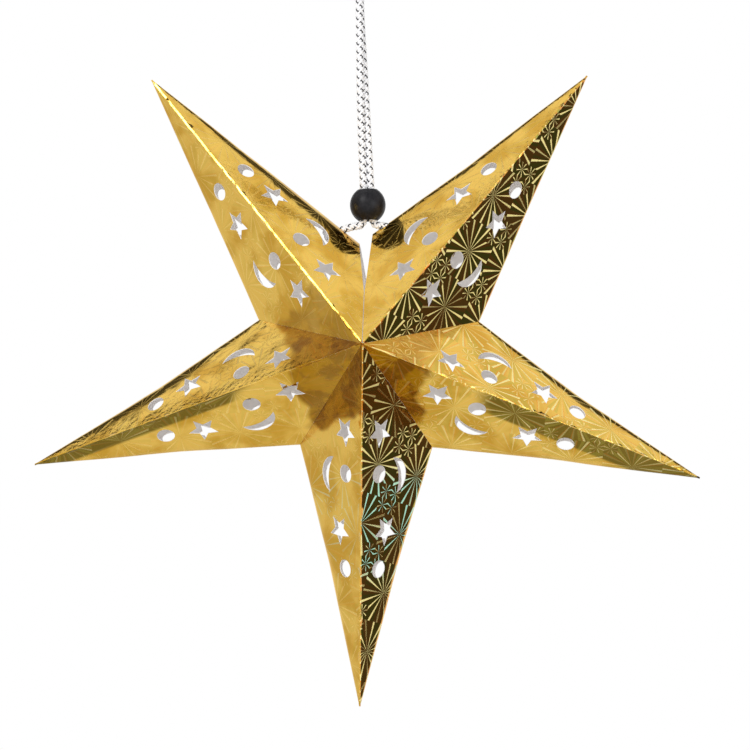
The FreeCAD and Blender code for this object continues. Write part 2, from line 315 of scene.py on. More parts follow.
def bent_leaf(name, leaf, offset, glitter, painted_reflection_strength, bow, painted_reflection_band, cord_hole=None):
    """Bends, trims, lips and thickens one leaf, and returns it as an object."""
    bm = flat_blank(leaf, cord_hole)
    sheet = bm.loops.layers.uv.new("foil")
    for face in bm.faces:
        for loop in face.loops:
            loop[sheet].uv = (loop.vert.co.x + offset[0], loop.vert.co.y + offset[1])
    for vert in bm.verts:
        vert.co = leaf.fold(vert.co)
    if leaf.along.cross(FRONT_TO_BACK).dot(leaf.outward) < 0.0:
        bmesh.ops.reverse_faces(bm, faces=bm.faces)
    for normal, place in leaf.trims():
        everything = bm.verts[:] + bm.edges[:] + bm.faces[:]
        bmesh.ops.bisect_plane(bm, geom=everything, dist=1e-7, plane_co=place, plane_no=normal,
                               clear_inner=True)
    bm.normal_update()
    moves = {}
    for vert in bm.verts:
        offset_here = vert.co - STAR_CENTRE
        from_ridge = offset_here.dot(leaf.from_ridge)
        from_edge = offset_here.dot(leaf.from_edge)
        nearest = min(from_ridge, from_edge)
        spot = vert.co / WAVE_LENGTH
        wave = noise.noise(spot) + 0.4 * noise.noise(spot * 2.7)
        move = vert.normal * (wave * WAVE_HEIGHT * between(0.0, WAVE_REACH, nearest))
        hump = between(0.0, RIDGE_BOW_REACH, from_ridge) - between(RIDGE_BOW_REACH, RIDGE_BOW_END, from_ridge)
        move += vert.normal * (hump * bow * between(0.0, RIDGE_BOW_FADE, from_edge))
        for distance, seam in ((from_ridge, leaf.arm), (from_edge, leaf.edge)):
            fade = 1.0 - between(0.0, CRINKLE_REACH, distance)
            if fade > 0.0 and (seam is leaf.arm or leaf.lean is None):
                beside = seam.cross(FRONT_TO_BACK)
                flat_normal = vert.normal - beside * vert.normal.dot(beside)
                crease = seam_wander(leaf, vert.co + leaf.outward * distance, seam, CRINKLE_HEIGHT)
                move += flat_normal * crease * fade
        moves[vert] = move
    for vert, move in moves.items():
        vert.co += move
    seam_lip(bm, leaf, leaf.from_ridge, RIDGE_GAP, leaf.arm, 1)
    if leaf.lean is None:
        seam_lip(bm, leaf, leaf.from_edge, GLUE_LINE, leaf.edge, -1)
    ridge_layer = bm.verts.layers.float.new("ridge")
    valley_layer = bm.verts.layers.float.new("valley")
    glitter_layer = bm.verts.layers.float.new("glitter")
    # This one carries the strength of the painted reflection round the middle.
    painted_reflection_layer = bm.verts.layers.float.new("painted_reflection_strength")
    # This one carries the width of the painted dark reflection band beside the ridge.
    painted_reflection_band_layer = bm.verts.layers.float.new("painted_reflection_band")
    for vert in bm.verts:
        vert[ridge_layer] = (vert.co - STAR_CENTRE).dot(leaf.from_ridge)
        vert[valley_layer] = (vert.co - STAR_CENTRE).dot(leaf.from_edge)
        vert[glitter_layer] = glitter
        vert[painted_reflection_layer] = painted_reflection_strength
        vert[painted_reflection_band_layer] = painted_reflection_band
    mesh = bpy.data.meshes.new(name + "_card")
    bm.to_mesh(mesh)
    bm.free()
    piece = bpy.data.objects.new(name + "_card", mesh)
    bpy.context.scene.collection.objects.link(piece)
    mesh.materials.append(gold_foil)
    mesh.materials.append(white_card)
    wall = piece.modifiers.new("card", "SOLIDIFY")
    wall.thickness = CARD_THICKNESS
    wall.offset = -1.0
    wall.material_offset = 1
    wall.material_offset_rim = 1
    bpy.context.view_layer.update()
    solid = bpy.data.meshes.new_from_object(piece.evaluated_get(bpy.context.evaluated_depsgraph_get()))
    piece.modifiers.clear()
    piece.data = solid
    solid.polygons.foreach_set("use_smooth", [True] * len(solid.polygons))
    solid.set_sharp_from_angle(angle=math.radians(CRISP_ANGLE))
    for polygon in solid.polygons:
        if (polygon.center - STAR_CENTRE).dot(leaf.from_ridge) < RIDGE_GAP:
            polygon.material_index = 0
    return piece


def add_node(tree, kind, *values, **settings):
    """Adds a node, with settings, and plugs sockets or numbers into its inputs in order."""
    node = tree.nodes.new(kind)
    for name, value in settings.items():
        setattr(node, name, value)
    for socket, value in zip(node.inputs, values):
        if isinstance(value, bpy.types.NodeSocket):
            tree.links.new(value, socket)
        elif value is not None:
            socket.default_value = value
    return node


def maths(tree, operation, *values):
    """One step of arithmetic."""
    return add_node(tree, "ShaderNodeMath", *values, operation=operation).outputs[0]


def soft_step(tree, value, low, high, start=0.0, end=1.0):
    """Goes softly from start to end while the value goes from low to high."""
    node = add_node(tree, "ShaderNodeMapRange", value, low, high, start, end, interpolation_type="SMOOTHSTEP")
    return node.outputs[0]


def mix_colour(tree, share, first, second):
    """The first colour at share 0, the second at share 1."""
    node = tree.nodes.new("ShaderNodeMix")
    node.data_type = "RGBA"
    for socket, value in ((node.inputs[0], share), (node.inputs[6], first), (node.inputs[7], second)):
        if isinstance(value, bpy.types.NodeSocket):
            tree.links.new(value, socket)
        else:
            socket.default_value = value
    return node.outputs[2]


# The embossed pattern is a square lattice of large bursts of rays, with four small bursts
# in the corner where four large ones meet.
BURST_PITCH = 0.027
BURST_RAYS = 16.0
SMALL_RAYS = 8.0
SMALL_FIELD = 0.267
SMALL_CENTRE = 0.383
BURST_TURN = 0.35            # how far the large bursts are turned, in rays
FRINGE_PLACE = 0.14          # the coloured fringe lies on one side of each ray
SMALL_NUMBERING = 31.0       # so that small rays don't share their chance with the large ones


def starburst_group():
    """Masks of the embossed rays, from a place on the flat foil."""
    group = bpy.data.node_groups.new("Starburst embossing", "ShaderNodeTree")
    face = group.interface
    face.new_socket("Place", in_out="INPUT", socket_type="NodeSocketVector")
    face.new_socket("Pitch", in_out="INPUT", socket_type="NodeSocketFloat")
    for name in ("Ray", "Fringe", "Shade", "Chance"):
        face.new_socket(name, in_out="OUTPUT", socket_type="NodeSocketFloat")
    inside = group.nodes.new("NodeGroupInput")
    outside = group.nodes.new("NodeGroupOutput")
    per_pitch = maths(group, "DIVIDE", 1.0, inside.outputs["Pitch"])
    scaled = add_node(group, "ShaderNodeVectorMath", operation="SCALE")
    group.links.new(inside.outputs["Place"], scaled.inputs[0])
    group.links.new(per_pitch, scaled.inputs["Scale"])
    raised = add_node(group, "ShaderNodeVectorMath", scaled.outputs[0], (0.5, 0.5, 0.0), operation="ADD")
    cell = add_node(group, "ShaderNodeVectorMath", raised.outputs[0], operation="FLOOR")
    local = add_node(group, "ShaderNodeVectorMath", scaled.outputs[0], cell.outputs[0], operation="SUBTRACT")
    spot = add_node(group, "ShaderNodeSeparateXYZ", local.outputs[0])
    size_x = maths(group, "ABSOLUTE", spot.outputs[0])
    size_y = maths(group, "ABSOLUTE", spot.outputs[1])
    in_corner = maths(group, "MULTIPLY", maths(group, "GREATER_THAN", size_x, SMALL_FIELD),
                      maths(group, "GREATER_THAN", size_y, SMALL_FIELD))
    large = maths(group, "ARCTAN2", spot.outputs[1], spot.outputs[0])
    small = maths(group, "ARCTAN2", maths(group, "SUBTRACT", size_y, SMALL_CENTRE),
                  maths(group, "SUBTRACT", size_x, SMALL_CENTRE))
    large = maths(group, "MULTIPLY_ADD", large, BURST_RAYS / math.tau, BURST_TURN)
    small = maths(group, "MULTIPLY", small, SMALL_RAYS / math.tau)
    turns = add_node(group, "ShaderNodeMix", in_corner, None, large, small).outputs[0]
    part = maths(group, "SUBTRACT", maths(group, "FRACT", turns), 0.5)
    away = maths(group, "ABSOLUTE", part)
    group.links.new(soft_step(group, away, 0.075, 0.130, 1.0, 0.0), outside.inputs["Ray"])
    beside = maths(group, "ABSOLUTE", maths(group, "SUBTRACT", part, FRINGE_PLACE))
    group.links.new(soft_step(group, beside, 0.02, 0.06, 1.0, 0.0), outside.inputs["Fringe"])
    group.links.new(soft_step(group, away, 0.16, 0.26), outside.inputs["Shade"])
    number = maths(group, "MULTIPLY", in_corner, SMALL_NUMBERING)
    number = maths(group, "ADD", maths(group, "FLOOR", turns), number)
    mark = add_node(group, "ShaderNodeVectorMath", cell.outputs[0], operation="ADD")
    combined = add_node(group, "ShaderNodeCombineXYZ", 0.5, 0.5, number)
    group.links.new(combined.outputs[0], mark.inputs[1])
    chance = add_node(group, "ShaderNodeTexWhiteNoise", mark.outputs[0], noise_dimensions="3D")
    group.links.new(chance.outputs[0], outside.inputs["Chance"])
    return group


GOLD = (0.86, 0.55, 0.105, 1.0)
DEEP_GOLD = (0.66, 0.37, 0.040, 1.0)
# Painted reflection colours for round the middle, where the leaves would mirror each other.
PAINTED_REFLECTION_BRONZE = (0.36, 0.165, 0.002, 1.0)
PAINTED_REFLECTION_DARK_BRONZE = (0.20, 0.075, 0.001, 1.0)
# Painted reflection: a red brown for the middle of the glittering leaves.
PAINTED_REFLECTION_RED_BROWN = (0.90, 0.30, 0.02, 1.0)
# Painted dark reflection, for the band beside the ridges of the under leaves.
PAINTED_DARK_REFLECTION_OLIVE = (0.15, 0.105, 0.012, 1.0)
BROWN = (0.82, 0.36, 0.07, 1.0)
RAY_YELLOW = (1.0, 0.86, 0.34, 1.0)
RAY_CYAN = (0.50, 0.92, 0.70, 1.0)
FRINGE_ORANGE = (1.0, 0.22, 0.02, 1.0)
SHADE_GREEN = (0.50, 0.44, 0.07, 1.0)
PAINTED_REFLECTION_REACH = 0.054         # painted reflection round the middle: a deeper, darker colour that stands in for the leaves mirroring each other
PAINTED_REFLECTION_EDGE = 0.005
PAINTED_REFLECTION_RAGGED = 0.034        # how far its edge wanders
PAINTED_REFLECTION_DRAWN_IN = 0.55       # how much the edge draws in for each metre away from a valley
PAINTED_BAND_START = 0.086           # a ridge's painted dark reflection band fades in over this stretch
PAINTED_BAND_FULL = 0.100
CYAN_BOTTOM = -0.296         # heights between which the rays shine cyan
CYAN_TOP = -0.240
CYAN_FADE = 0.012


def foil_material(starburst):
    """Gold foil, mirror bright, with rays of fine grooves that scatter the light, and two painted
    reflections: a deeper colour round the middle and a dark band beside some ridges.
    """
    material = bpy.data.materials.new("gold foil")
    material.use_nodes = True
    tree = material.node_tree
    gloss = tree.nodes["Principled BSDF"]
    gloss.inputs["Metallic"].default_value = 1.0
    place = add_node(tree, "ShaderNodeUVMap", uv_map="foil").outputs[0]
    object_place = tree.nodes.new("ShaderNodeTexCoord").outputs["Object"]
    burst = tree.nodes.new("ShaderNodeGroup")
    burst.node_tree = starburst
    tree.links.new(place, burst.inputs["Place"])
    burst.inputs["Pitch"].default_value = BURST_PITCH
    glitter = add_node(tree, "ShaderNodeAttribute", attribute_name="glitter").outputs["Fac"]
    ridge = add_node(tree, "ShaderNodeAttribute", attribute_name="ridge").outputs["Fac"]
    valley = add_node(tree, "ShaderNodeAttribute", attribute_name="valley").outputs["Fac"]
    painted_reflection_strength = add_node(tree, "ShaderNodeAttribute", attribute_name="painted_reflection_strength").outputs["Fac"]
    cloud = add_node(tree, "ShaderNodeTexNoise", object_place, None, 60.0, 3.0).outputs[0]
    colour = mix_colour(tree, soft_step(tree, cloud, 0.40, 0.62), GOLD, DEEP_GOLD)
    flat = add_node(tree, "ShaderNodeVectorMath", object_place, (1.0, 0.0, 1.0), operation="MULTIPLY")
    centre = (STAR_CENTRE.x, 0.0, STAR_CENTRE.z)
    apart = add_node(tree, "ShaderNodeVectorMath", flat.outputs[0], centre, operation="DISTANCE")
    ragged = add_node(tree, "ShaderNodeTexNoise", object_place, None, 45.0, 2.0).outputs[0]
    # Painted reflection: a deeper bronze round the middle, reaching further near the valleys, stands in for
    # the leaves mirroring each other.
    away = maths(tree, "MULTIPLY_ADD", ragged, PAINTED_REFLECTION_RAGGED, apart.outputs["Value"])
    away = maths(tree, "MULTIPLY_ADD", valley, PAINTED_REFLECTION_DRAWN_IN, away)
    painted_reflection = soft_step(tree, away, PAINTED_REFLECTION_REACH, PAINTED_REFLECTION_REACH + PAINTED_REFLECTION_EDGE, 1.0, 0.0)
    painted_reflection = maths(tree, "MULTIPLY", painted_reflection, painted_reflection_strength)
    patches = add_node(tree, "ShaderNodeTexNoise", object_place, None, 75.0, 3.0, 0.6).outputs[0]
    painted_reflection_colour = mix_colour(tree, soft_step(tree, patches, 0.44, 0.56), PAINTED_REFLECTION_BRONZE, PAINTED_REFLECTION_DARK_BRONZE)
    colour = mix_colour(tree, painted_reflection, colour, painted_reflection_colour)
    # Painted dark reflection: an olive band beside the ridge of the under leaves.
    painted_reflection_band = add_node(tree, "ShaderNodeAttribute", attribute_name="painted_reflection_band").outputs["Fac"]
    in_painted_reflection_band = soft_step(tree, maths(tree, "SUBTRACT", painted_reflection_band, ridge), -0.0004, 0.0008)
    in_painted_reflection_band = maths(tree, "MULTIPLY", in_painted_reflection_band, soft_step(tree, away, PAINTED_BAND_START, PAINTED_BAND_FULL))
    colour = mix_colour(tree, maths(tree, "MULTIPLY", in_painted_reflection_band, 0.9), colour, PAINTED_DARK_REFLECTION_OLIVE)
    colour = mix_colour(tree, soft_step(tree, glitter, 0.3, 1.0, 0.0, 0.8), colour, BROWN)
    # Painted reflection: a red brown in the same middle zone on the glittering leaves.
    painted_reflection_red = maths(tree, "MULTIPLY", painted_reflection, soft_step(tree, glitter, 0.6, 0.9))
    colour = mix_colour(tree, painted_reflection_red, colour, PAINTED_REFLECTION_RED_BROWN)
    chance = burst.outputs["Chance"]
    strength = maths(tree, "MULTIPLY", burst.outputs["Ray"], soft_step(tree, chance, 0.0, 0.7, 0.35, 1.0))
    lit = maths(tree, "MULTIPLY", strength, glitter)
    lit = maths(tree, "MULTIPLY", lit, soft_step(tree, painted_reflection, 0.0, 1.0, 1.0, 0.4))
    height = add_node(tree, "ShaderNodeSeparateXYZ", object_place).outputs[2]
    above = soft_step(tree, height, CYAN_BOTTOM, CYAN_BOTTOM + CYAN_FADE)
    below = soft_step(tree, height, CYAN_TOP - CYAN_FADE, CYAN_TOP, 1.0, 0.0)
    cyan = maths(tree, "MULTIPLY", above, below)
    cyan = maths(tree, "MULTIPLY", cyan, soft_step(tree, chance, 0.25, 0.4))
    ray_colour = mix_colour(tree, cyan, RAY_YELLOW, RAY_CYAN)
    shade = maths(tree, "MULTIPLY", burst.outputs["Shade"], soft_step(tree, chance, 0.4, 0.6))
    shade = maths(tree, "MULTIPLY", shade, soft_step(tree, painted_reflection, 0.0, 1.0, 1.0, 0.0))
    colour = mix_colour(tree, maths(tree, "MULTIPLY", shade, glitter), colour, SHADE_GREEN)
    fringe = maths(tree, "MULTIPLY", maths(tree, "MULTIPLY", burst.outputs["Fringe"], glitter), 0.8)
    colour = mix_colour(tree, fringe, colour, FRINGE_ORANGE)
    colour = mix_colour(tree, soft_step(tree, lit, 0.0, 0.5), colour, ray_colour)
    tree.links.new(colour, gloss.inputs["Base Color"])
    tree.links.new(soft_step(tree, lit, 0.05, 0.85, 1.0, 0.08), gloss.inputs["Metallic"])
    rough = maths(tree, "MULTIPLY_ADD", strength, 0.24, 0.085)
    rough = maths(tree, "MULTIPLY_ADD", fringe, 0.2, rough)
    tree.links.new(rough, gloss.inputs["Roughness"])
    nearest = maths(tree, "MINIMUM", ridge, valley)
    near_seam = soft_step(tree, nearest, 0.0, 0.007, 1.0, 0.0)
    fine = add_node(tree, "ShaderNodeTexNoise", object_place, None, 420.0, 4.0).outputs[0]
    broad = add_node(tree, "ShaderNodeTexNoise", object_place, None, 110.0, 2.0).outputs[0]
    relief = maths(tree, "MULTIPLY", fine, maths(tree, "MULTIPLY_ADD", near_seam, 1.6, 0.10))
    relief = maths(tree, "ADD", relief, maths(tree, "MULTIPLY", broad, 1.5))
    relief = maths(tree, "ADD", relief, maths(tree, "MULTIPLY", strength, 0.05))
    bump = tree.nodes.new("ShaderNodeBump")
    bump.inputs["Strength"].default_value = 0.5
    bump.inputs["Distance"].default_value = 0.0002
    tree.links.new(relief, bump.inputs["Height"])
    tree.links.new(bump.outputs[0], gloss.inputs["Normal"])
    return material


CARD_WHITE = (0.96, 0.94, 0.93, 1.0)
CARD_SHADE = (0.92, 0.90, 0.885, 1.0)


def card_material():
    """The plain white inside of the card and its cut edges, with a soft paper tooth and a faint painted glow
    that stands in for light scattered inside the hollow.
    """
    material = bpy.data.materials.new("white card")
    material.use_nodes = True
    tree = material.node_tree
    matt = tree.nodes["Principled BSDF"]
    matt.inputs["Roughness"].default_value = 0.75
    # A faint painted glow stands in for light scattered inside the hollow star.
    matt.inputs["Emission Color"].default_value = (1.0, 0.95, 0.92, 1.0)
    matt.inputs["Emission Strength"].default_value = 0.05
    place = tree.nodes.new("ShaderNodeTexCoord").outputs["Object"]
    cloud = add_node(tree, "ShaderNodeTexNoise", place, None, 90.0, 4.0).outputs[0]
    colour = mix_colour(tree, soft_step(tree, cloud, 0.3, 0.7), CARD_WHITE, CARD_SHADE)
    tree.links.new(colour, matt.inputs["Base Color"])
    tooth = add_node(tree, "ShaderNodeTexNoise", place, None, 2600.0, 3.0).outputs[0]
    bump = tree.nodes.new("ShaderNodeBump")
    bump.inputs["Strength"].default_value = 0.25
    bump.inputs["Distance"].default_value = 0.0001
    tree.links.new(tooth, bump.inputs["Height"])
    tree.links.new(bump.outputs[0], matt.inputs["Normal"])
    return material


CORD_DIAMETER = 0.003
HOLE_CLEARANCE = 0.0006
# Each hole's line through its leaf, from the star's centre: a place outside and one inside.
LEFT_HOLE_LINE = (Vector((-0.0074, 0.0, 0.0570)), Vector((-0.0147, 0.0, 0.0542)))
RIGHT_HOLE_LINE = (Vector((0.0047, 0.0, 0.0574)), Vector((0.0117, 0.0, 0.0562)))
HOLE_STATION = 0.012         # roughly where the holes lie along the bend, for its radius there


def cord_hole(leaf, outside, inside):
    """Station, half width and half length of the hole that the cord goes through."""
    crown = leaf.bend_radius(HOLE_STATION) * (1.0 / math.sin(leaf.slope) - 1.0)
    start = leaf.corner - leaf.outward * crown
    meet = intersect_line_line(start, start + leaf.along, outside, inside)[0]
    lean = (inside - outside).normalized().cross(leaf.along).length
    half = CORD_DIAMETER / 2.0 + HOLE_CLEARANCE
    return (meet - start).dot(leaf.along), half, half / lean


left_notch = (UPPER_LEFT_ARM + LEFT_ARM) / 2.0
lower_left_notch = (LEFT_ARM + BOTTOM_ARM) / 2.0
lower_right_notch = (BOTTOM_ARM + RIGHT_ARM + 360.0) / 2.0
right_notch = (RIGHT_ARM + UPPER_RIGHT_ARM) / 2.0
upper_left_top = Leaf(UPPER_LEFT_ARM, MOUTH, SOFTEST_BEND, LEFT_EDGE_LEAN, LEFT_CORNER_BEND)
upper_right_top = Leaf(UPPER_RIGHT_ARM, MOUTH, MEDIUM_BEND, -RIGHT_EDGE_LEAN, RIGHT_CORNER_BEND)
upper_left_side = Leaf(UPPER_LEFT_ARM, left_notch, TIGHT_BEND)
left_top = Leaf(LEFT_ARM, left_notch, SOFT_BEND)
left_under = Leaf(LEFT_ARM, lower_left_notch, MEDIUM_BEND)
bottom_left = Leaf(BOTTOM_ARM, lower_left_notch, MEDIUM_BEND)
bottom_right = Leaf(BOTTOM_ARM, lower_right_notch, MEDIUM_BEND)
right_under = Leaf(RIGHT_ARM, lower_right_notch, MEDIUM_BEND)
right_top = Leaf(RIGHT_ARM, right_notch, SOFT_BEND)
upper_right_side = Leaf(UPPER_RIGHT_ARM, right_notch, TIGHT_BEND)
left_hole = cord_hole(upper_left_top, *LEFT_HOLE_LINE)
right_hole = cord_hole(upper_right_top, *RIGHT_HOLE_LINE)
# Each leaf with the place of its cut in the printed foil, how its rays glitter, how strong its painted
# reflection is near the middle, how far it bulges beside its ridge, the width of the painted dark reflection
# band along its ridge, and its hole for the cord.
LEAVES = {
    "upper_left_arm_top_leaf": (upper_left_top, (0.004, 0.006), 0.16, 0.0, 0.00025, 0.0, left_hole),
    "upper_left_arm_side_leaf": (upper_left_side, (0.011, 0.003), 0.16, 0.5, 0.00010, 0.0, None),
    "left_arm_top_leaf": (left_top, (0.016, 0.009), 0.16, 0.9, 0.00005, 0.0, None),
    "left_arm_under_leaf": (left_under, (0.002, 0.012), 0.16, 0.8, 0.00025, 0.0042, None),
    "bottom_arm_left_leaf": (bottom_left, (0.008, 0.001), 0.16, 0.9, 0.00010, 0.0, None),
    "bottom_arm_right_leaf": (bottom_right, (0.013, 0.006), 0.9, 0.6, 0.00005, 0.0, None),
    "right_arm_under_leaf": (right_under, (0.019, 0.003), 0.25, 1.0, 0.00040, 0.0080, None),
    "right_arm_top_leaf": (right_top, (0.005, 0.010), 0.45, 0.5, 0.00010, 0.0, None),
    "upper_right_arm_side_leaf": (upper_right_side, (0.0019, -0.0014), 1.0, 0.2, 0.00005, 0.0, None),
    "upper_right_arm_top_leaf": (upper_right_top, (0.010, 0.008), 0.16, 0.0, 0.00010, 0.0, right_hole),
}
gold_foil = foil_material(starburst_group())
white_card = card_material()
for name, (leaf, offset, glitter, painted_reflection_strength, bow, painted_reflection_band, hole) in LEAVES.items():
    piece = bent_leaf(name, leaf, offset, glitter, painted_reflection_strength, bow, painted_reflection_band, hole)
    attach(piece, "star")
    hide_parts(name)

# Hanging cord
# A limp cord braided from six white yarns and two thin grey ones, which show as flecks. It comes
# out of the left free leaf, goes up through the bead, over the hanging loop and back down into
# the right free leaf.
ROUTE_FROM_CENTRE = [
    (-0.0147, 0.0, 0.0542), (-0.0074, 0.0, 0.0570), (-0.00175, 0.0, 0.0571), (-0.0021, 0.0, 0.0710),
    (-0.0037, -0.0012, 0.1150), (-0.0040, -0.00175, 0.1590), (-0.0043, -0.0075, 0.1750),
    (-0.0044, -0.0075, 0.1915), (-0.0044, 0.0075, 0.1915), (-0.0043, 0.0075, 0.1750),
    (-0.0040, 0.00175, 0.1590), (-0.0013, 0.0012, 0.1150),
    (0.0012, 0.0, 0.0710), (0.0016, 0.0, 0.0571), (0.0077, 0.0, 0.0572), (0.0117, 0.0, 0.0554),
]
YARNS_EACH_WAY = 4
YARN_RADIUS = 0.00060
GREY_YARN_RADIUS = 0.00036
GREY_YARNS = {(-1, 0), (-1, 2)}      # the way round the braid and the number of each grey yarn
BRAID_RADIUS = 0.00112
BRAID_WEAVE = 0.00016
BRAID_PITCH = 0.0076
FRAMES_PER_PITCH = 16.0
CORE_RADIUS = 0.00095
ROUTE_RESOLUTION = 60

route = [STAR_CENTRE + Vector(place) for place in ROUTE_FROM_CENTRE]
line = bpy.data.curves.new("cord_line", "CURVE")
line.dimensions = "3D"
spline = line.splines.new("NURBS")
spline.points.add(len(route) - 1)
for point, place in zip(spline.points, route):
    point.co = (*place, 1.0)
spline.order_u = 3
spline.use_endpoint_u = True
spline.resolution_u = ROUTE_RESOLUTION
line_object = bpy.data.objects.new("cord_line", line)
bpy.context.scene.collection.objects.link(line_object)
bpy.context.view_layer.update()
line_mesh = bpy.data.meshes.new_from_object(line_object.evaluated_get(bpy.context.evaluated_depsgraph_get()))
cord_points = [vert.co.copy() for vert in line_mesh.vertices]
bpy.data.objects.remove(line_object)


def cord_frames(points, spacing):
    """Evenly spaced places along a line, each with two directions square to it."""
    runs = [(second - first).length for first, second in zip(points, points[1:])]
    total = sum(runs)
    count = int(total / spacing)
    frames = []
    side = None
    index = 0
    passed = 0.0
    for step in range(count + 1):
        distance = total * step / count
        while index < len(runs) - 1 and passed + runs[index] < distance:
            passed += runs[index]
            index += 1
        way = (points[index + 1] - points[index]).normalized()
        place = points[index] + way * (distance - passed)
        if side is None:
            side = way.cross(FRONT_TO_BACK).normalized()
        side = (side - way * side.dot(way)).normalized()
        frames.append((place, side.copy(), way.cross(side), distance))
    return frames


def yarn_material(name, light, dark):
    """Spun thread: soft, with fine filaments along the yarn."""
    material = bpy.data.materials.new(name)
    material.use_nodes = True
    tree = material.node_tree
    matt = tree.nodes["Principled BSDF"]
    matt.inputs["Roughness"].default_value = 0.7
    matt.inputs["Sheen Weight"].default_value = 0.3
    place = tree.nodes.new("ShaderNodeTexCoord").outputs["Object"]
    threads = add_node(tree, "ShaderNodeTexNoise", place, None, 2400.0, 3.0).outputs[0]
    colour = mix_colour(tree, soft_step(tree, threads, 0.35, 0.65), dark, light)
    tree.links.new(colour, matt.inputs["Base Color"])
    bump = tree.nodes.new("ShaderNodeBump")
    bump.inputs["Strength"].default_value = 0.5
    bump.inputs["Distance"].default_value = 0.0001
    tree.links.new(threads, bump.inputs["Height"])
    tree.links.new(bump.outputs[0], matt.inputs["Normal"])
    return material


def swept_spline(curve, points, radius, slot):
    """One round thread of a curve object."""
    thread = curve.splines.new("POLY")
    thread.points.add(len(points) - 1)
    for point, place in zip(thread.points, points):
        point.co = (*place, 1.0)
        point.radius = radius
    thread.material_index = slot
    thread.use_smooth = True


def braided(name, points, materials):
    """A braid round a line, as one mesh: a core, and yarns that pass over and under each other."""
    curve = bpy.data.curves.new(name, "CURVE")
    curve.dimensions = "3D"
    curve.bevel_depth = 1.0
    curve.bevel_resolution = 1
    curve.use_fill_caps = True
    for material in materials:
        curve.materials.append(material)
    frames = cord_frames(points, BRAID_PITCH / FRAMES_PER_PITCH)
    swept_spline(curve, [place for place, side, up, distance in frames[::4]], CORE_RADIUS, 0)
    for way in (-1, 1):
        for yarn in range(YARNS_EACH_WAY):
            path = []
            for place, side, up, distance in frames:
                phase = math.tau * distance / BRAID_PITCH
                angle = math.tau * yarn / YARNS_EACH_WAY + way * phase
                reach = BRAID_RADIUS + way * BRAID_WEAVE * math.cos(YARNS_EACH_WAY * phase)
                if (way, yarn) in GREY_YARNS:
                    reach += YARN_RADIUS - GREY_YARN_RADIUS
                path.append(place + side * (reach * math.cos(angle)) + up * (reach * math.sin(angle)))
            if (way, yarn) in GREY_YARNS:
                swept_spline(curve, path, GREY_YARN_RADIUS, 1)
            else:
                swept_spline(curve, path, YARN_RADIUS, 0)
    holder = bpy.data.objects.new(name, curve)
    bpy.context.scene.collection.objects.link(holder)
    bpy.context.view_layer.update()
    mesh = bpy.data.meshes.new_from_object(holder.evaluated_get(bpy.context.evaluated_depsgraph_get()))
    bpy.data.objects.remove(holder)
    piece = bpy.data.objects.new(name, mesh)
    bpy.context.scene.collection.objects.link(piece)
    return piece


white_yarn = yarn_material("white yarn", (0.97, 0.97, 0.98, 1.0), (0.88, 0.88, 0.90, 1.0))
grey_yarn = yarn_material("grey yarn", (0.06, 0.06, 0.065, 1.0), (0.02, 0.02, 0.022, 1.0))
cord = braided("hanging_cord_braid", cord_points, [white_yarn, grey_yarn])
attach(cord, "star")
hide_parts("hanging_cord")

# Stopper knots
# Each end of the cord is tied in a small overhand knot inside its leaf, pulled down tight, so
# that it can't slip back through the hole.
KNOT_TURN_RADIUS = 0.00165
KNOT_LENGTH = 0.006
KNOT_CORD_RADIUS = 0.00125
KNOT_BULGE = 0.45            # how far its three lobes stand out and swing along the cord
KNOT_SWING = 0.26
KNOT_STEPS = 48

ends = {"left": ROUTE_FROM_CENTRE[1::-1], "right": ROUTE_FROM_CENTRE[-2:]}
for side_name, (outside, end) in ends.items():
    inside = Vector(end)
    along_cord = (inside - Vector(outside)).normalized()
    middle = STAR_CENTRE + inside + along_cord * (KNOT_LENGTH / 2.0)
    up = along_cord.cross(FRONT_TO_BACK).normalized()
    tied = []
    for step in range(KNOT_STEPS):
        turn = math.tau * step / KNOT_STEPS
        ring = KNOT_TURN_RADIUS * (1.0 + KNOT_BULGE * math.cos(3.0 * turn))
        swing = KNOT_LENGTH * KNOT_SWING * math.sin(3.0 * turn)
        place = middle + up * (ring * math.cos(2.0 * turn))
        place += FRONT_TO_BACK * (ring * math.sin(2.0 * turn))
        tied.append(place + along_cord * swing)
    curve = bpy.data.curves.new(side_name + "_knot_turns", "CURVE")
    curve.dimensions = "3D"
    curve.bevel_depth = KNOT_CORD_RADIUS
    curve.bevel_resolution = 3
    loop = curve.splines.new("NURBS")
    loop.points.add(len(tied) - 1)
    for point, place in zip(loop.points, tied):
        point.co = (*place, 1.0)
    loop.order_u = 3
    loop.use_cyclic_u = True
    holder = bpy.data.objects.new(side_name + "_knot_turns", curve)
    bpy.context.scene.collection.objects.link(holder)
    bpy.context.view_layer.update()
    mesh = bpy.data.meshes.new_from_object(holder.evaluated_get(bpy.context.evaluated_depsgraph_get()))
    bpy.data.objects.remove(holder)
    knot = bpy.data.objects.new(side_name + "_stopper_knot", mesh)
    bpy.context.scene.collection.objects.link(knot)
    knot.data.materials.append(white_yarn)
    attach(knot, "star")
    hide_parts(side_name + "_cord_knot")

# Stopper bead
# A turned ball, satin black, with a wide bore and flat rounded mouths. Both strands run
# through it, and sliding it down pulls the two free leaves together.
BEAD_RADIUS = 0.00805
BEAD_LENGTH = 0.014
BORE_RADIUS = 0.0038
MOUTH_ROUNDING = 0.0006
BEAD_HEIGHT = 0.0664
BEAD_WALL_STEPS = 14
BEAD_MOUTH_STEPS = 4
BEAD_TURN_STEPS = 64
BEAD_CRISP_ANGLE = 40.0
BEAD_BLACK = (0.006, 0.006, 0.008, 1.0)
BEAD_CHARCOAL = (0.014, 0.013, 0.016, 1.0)

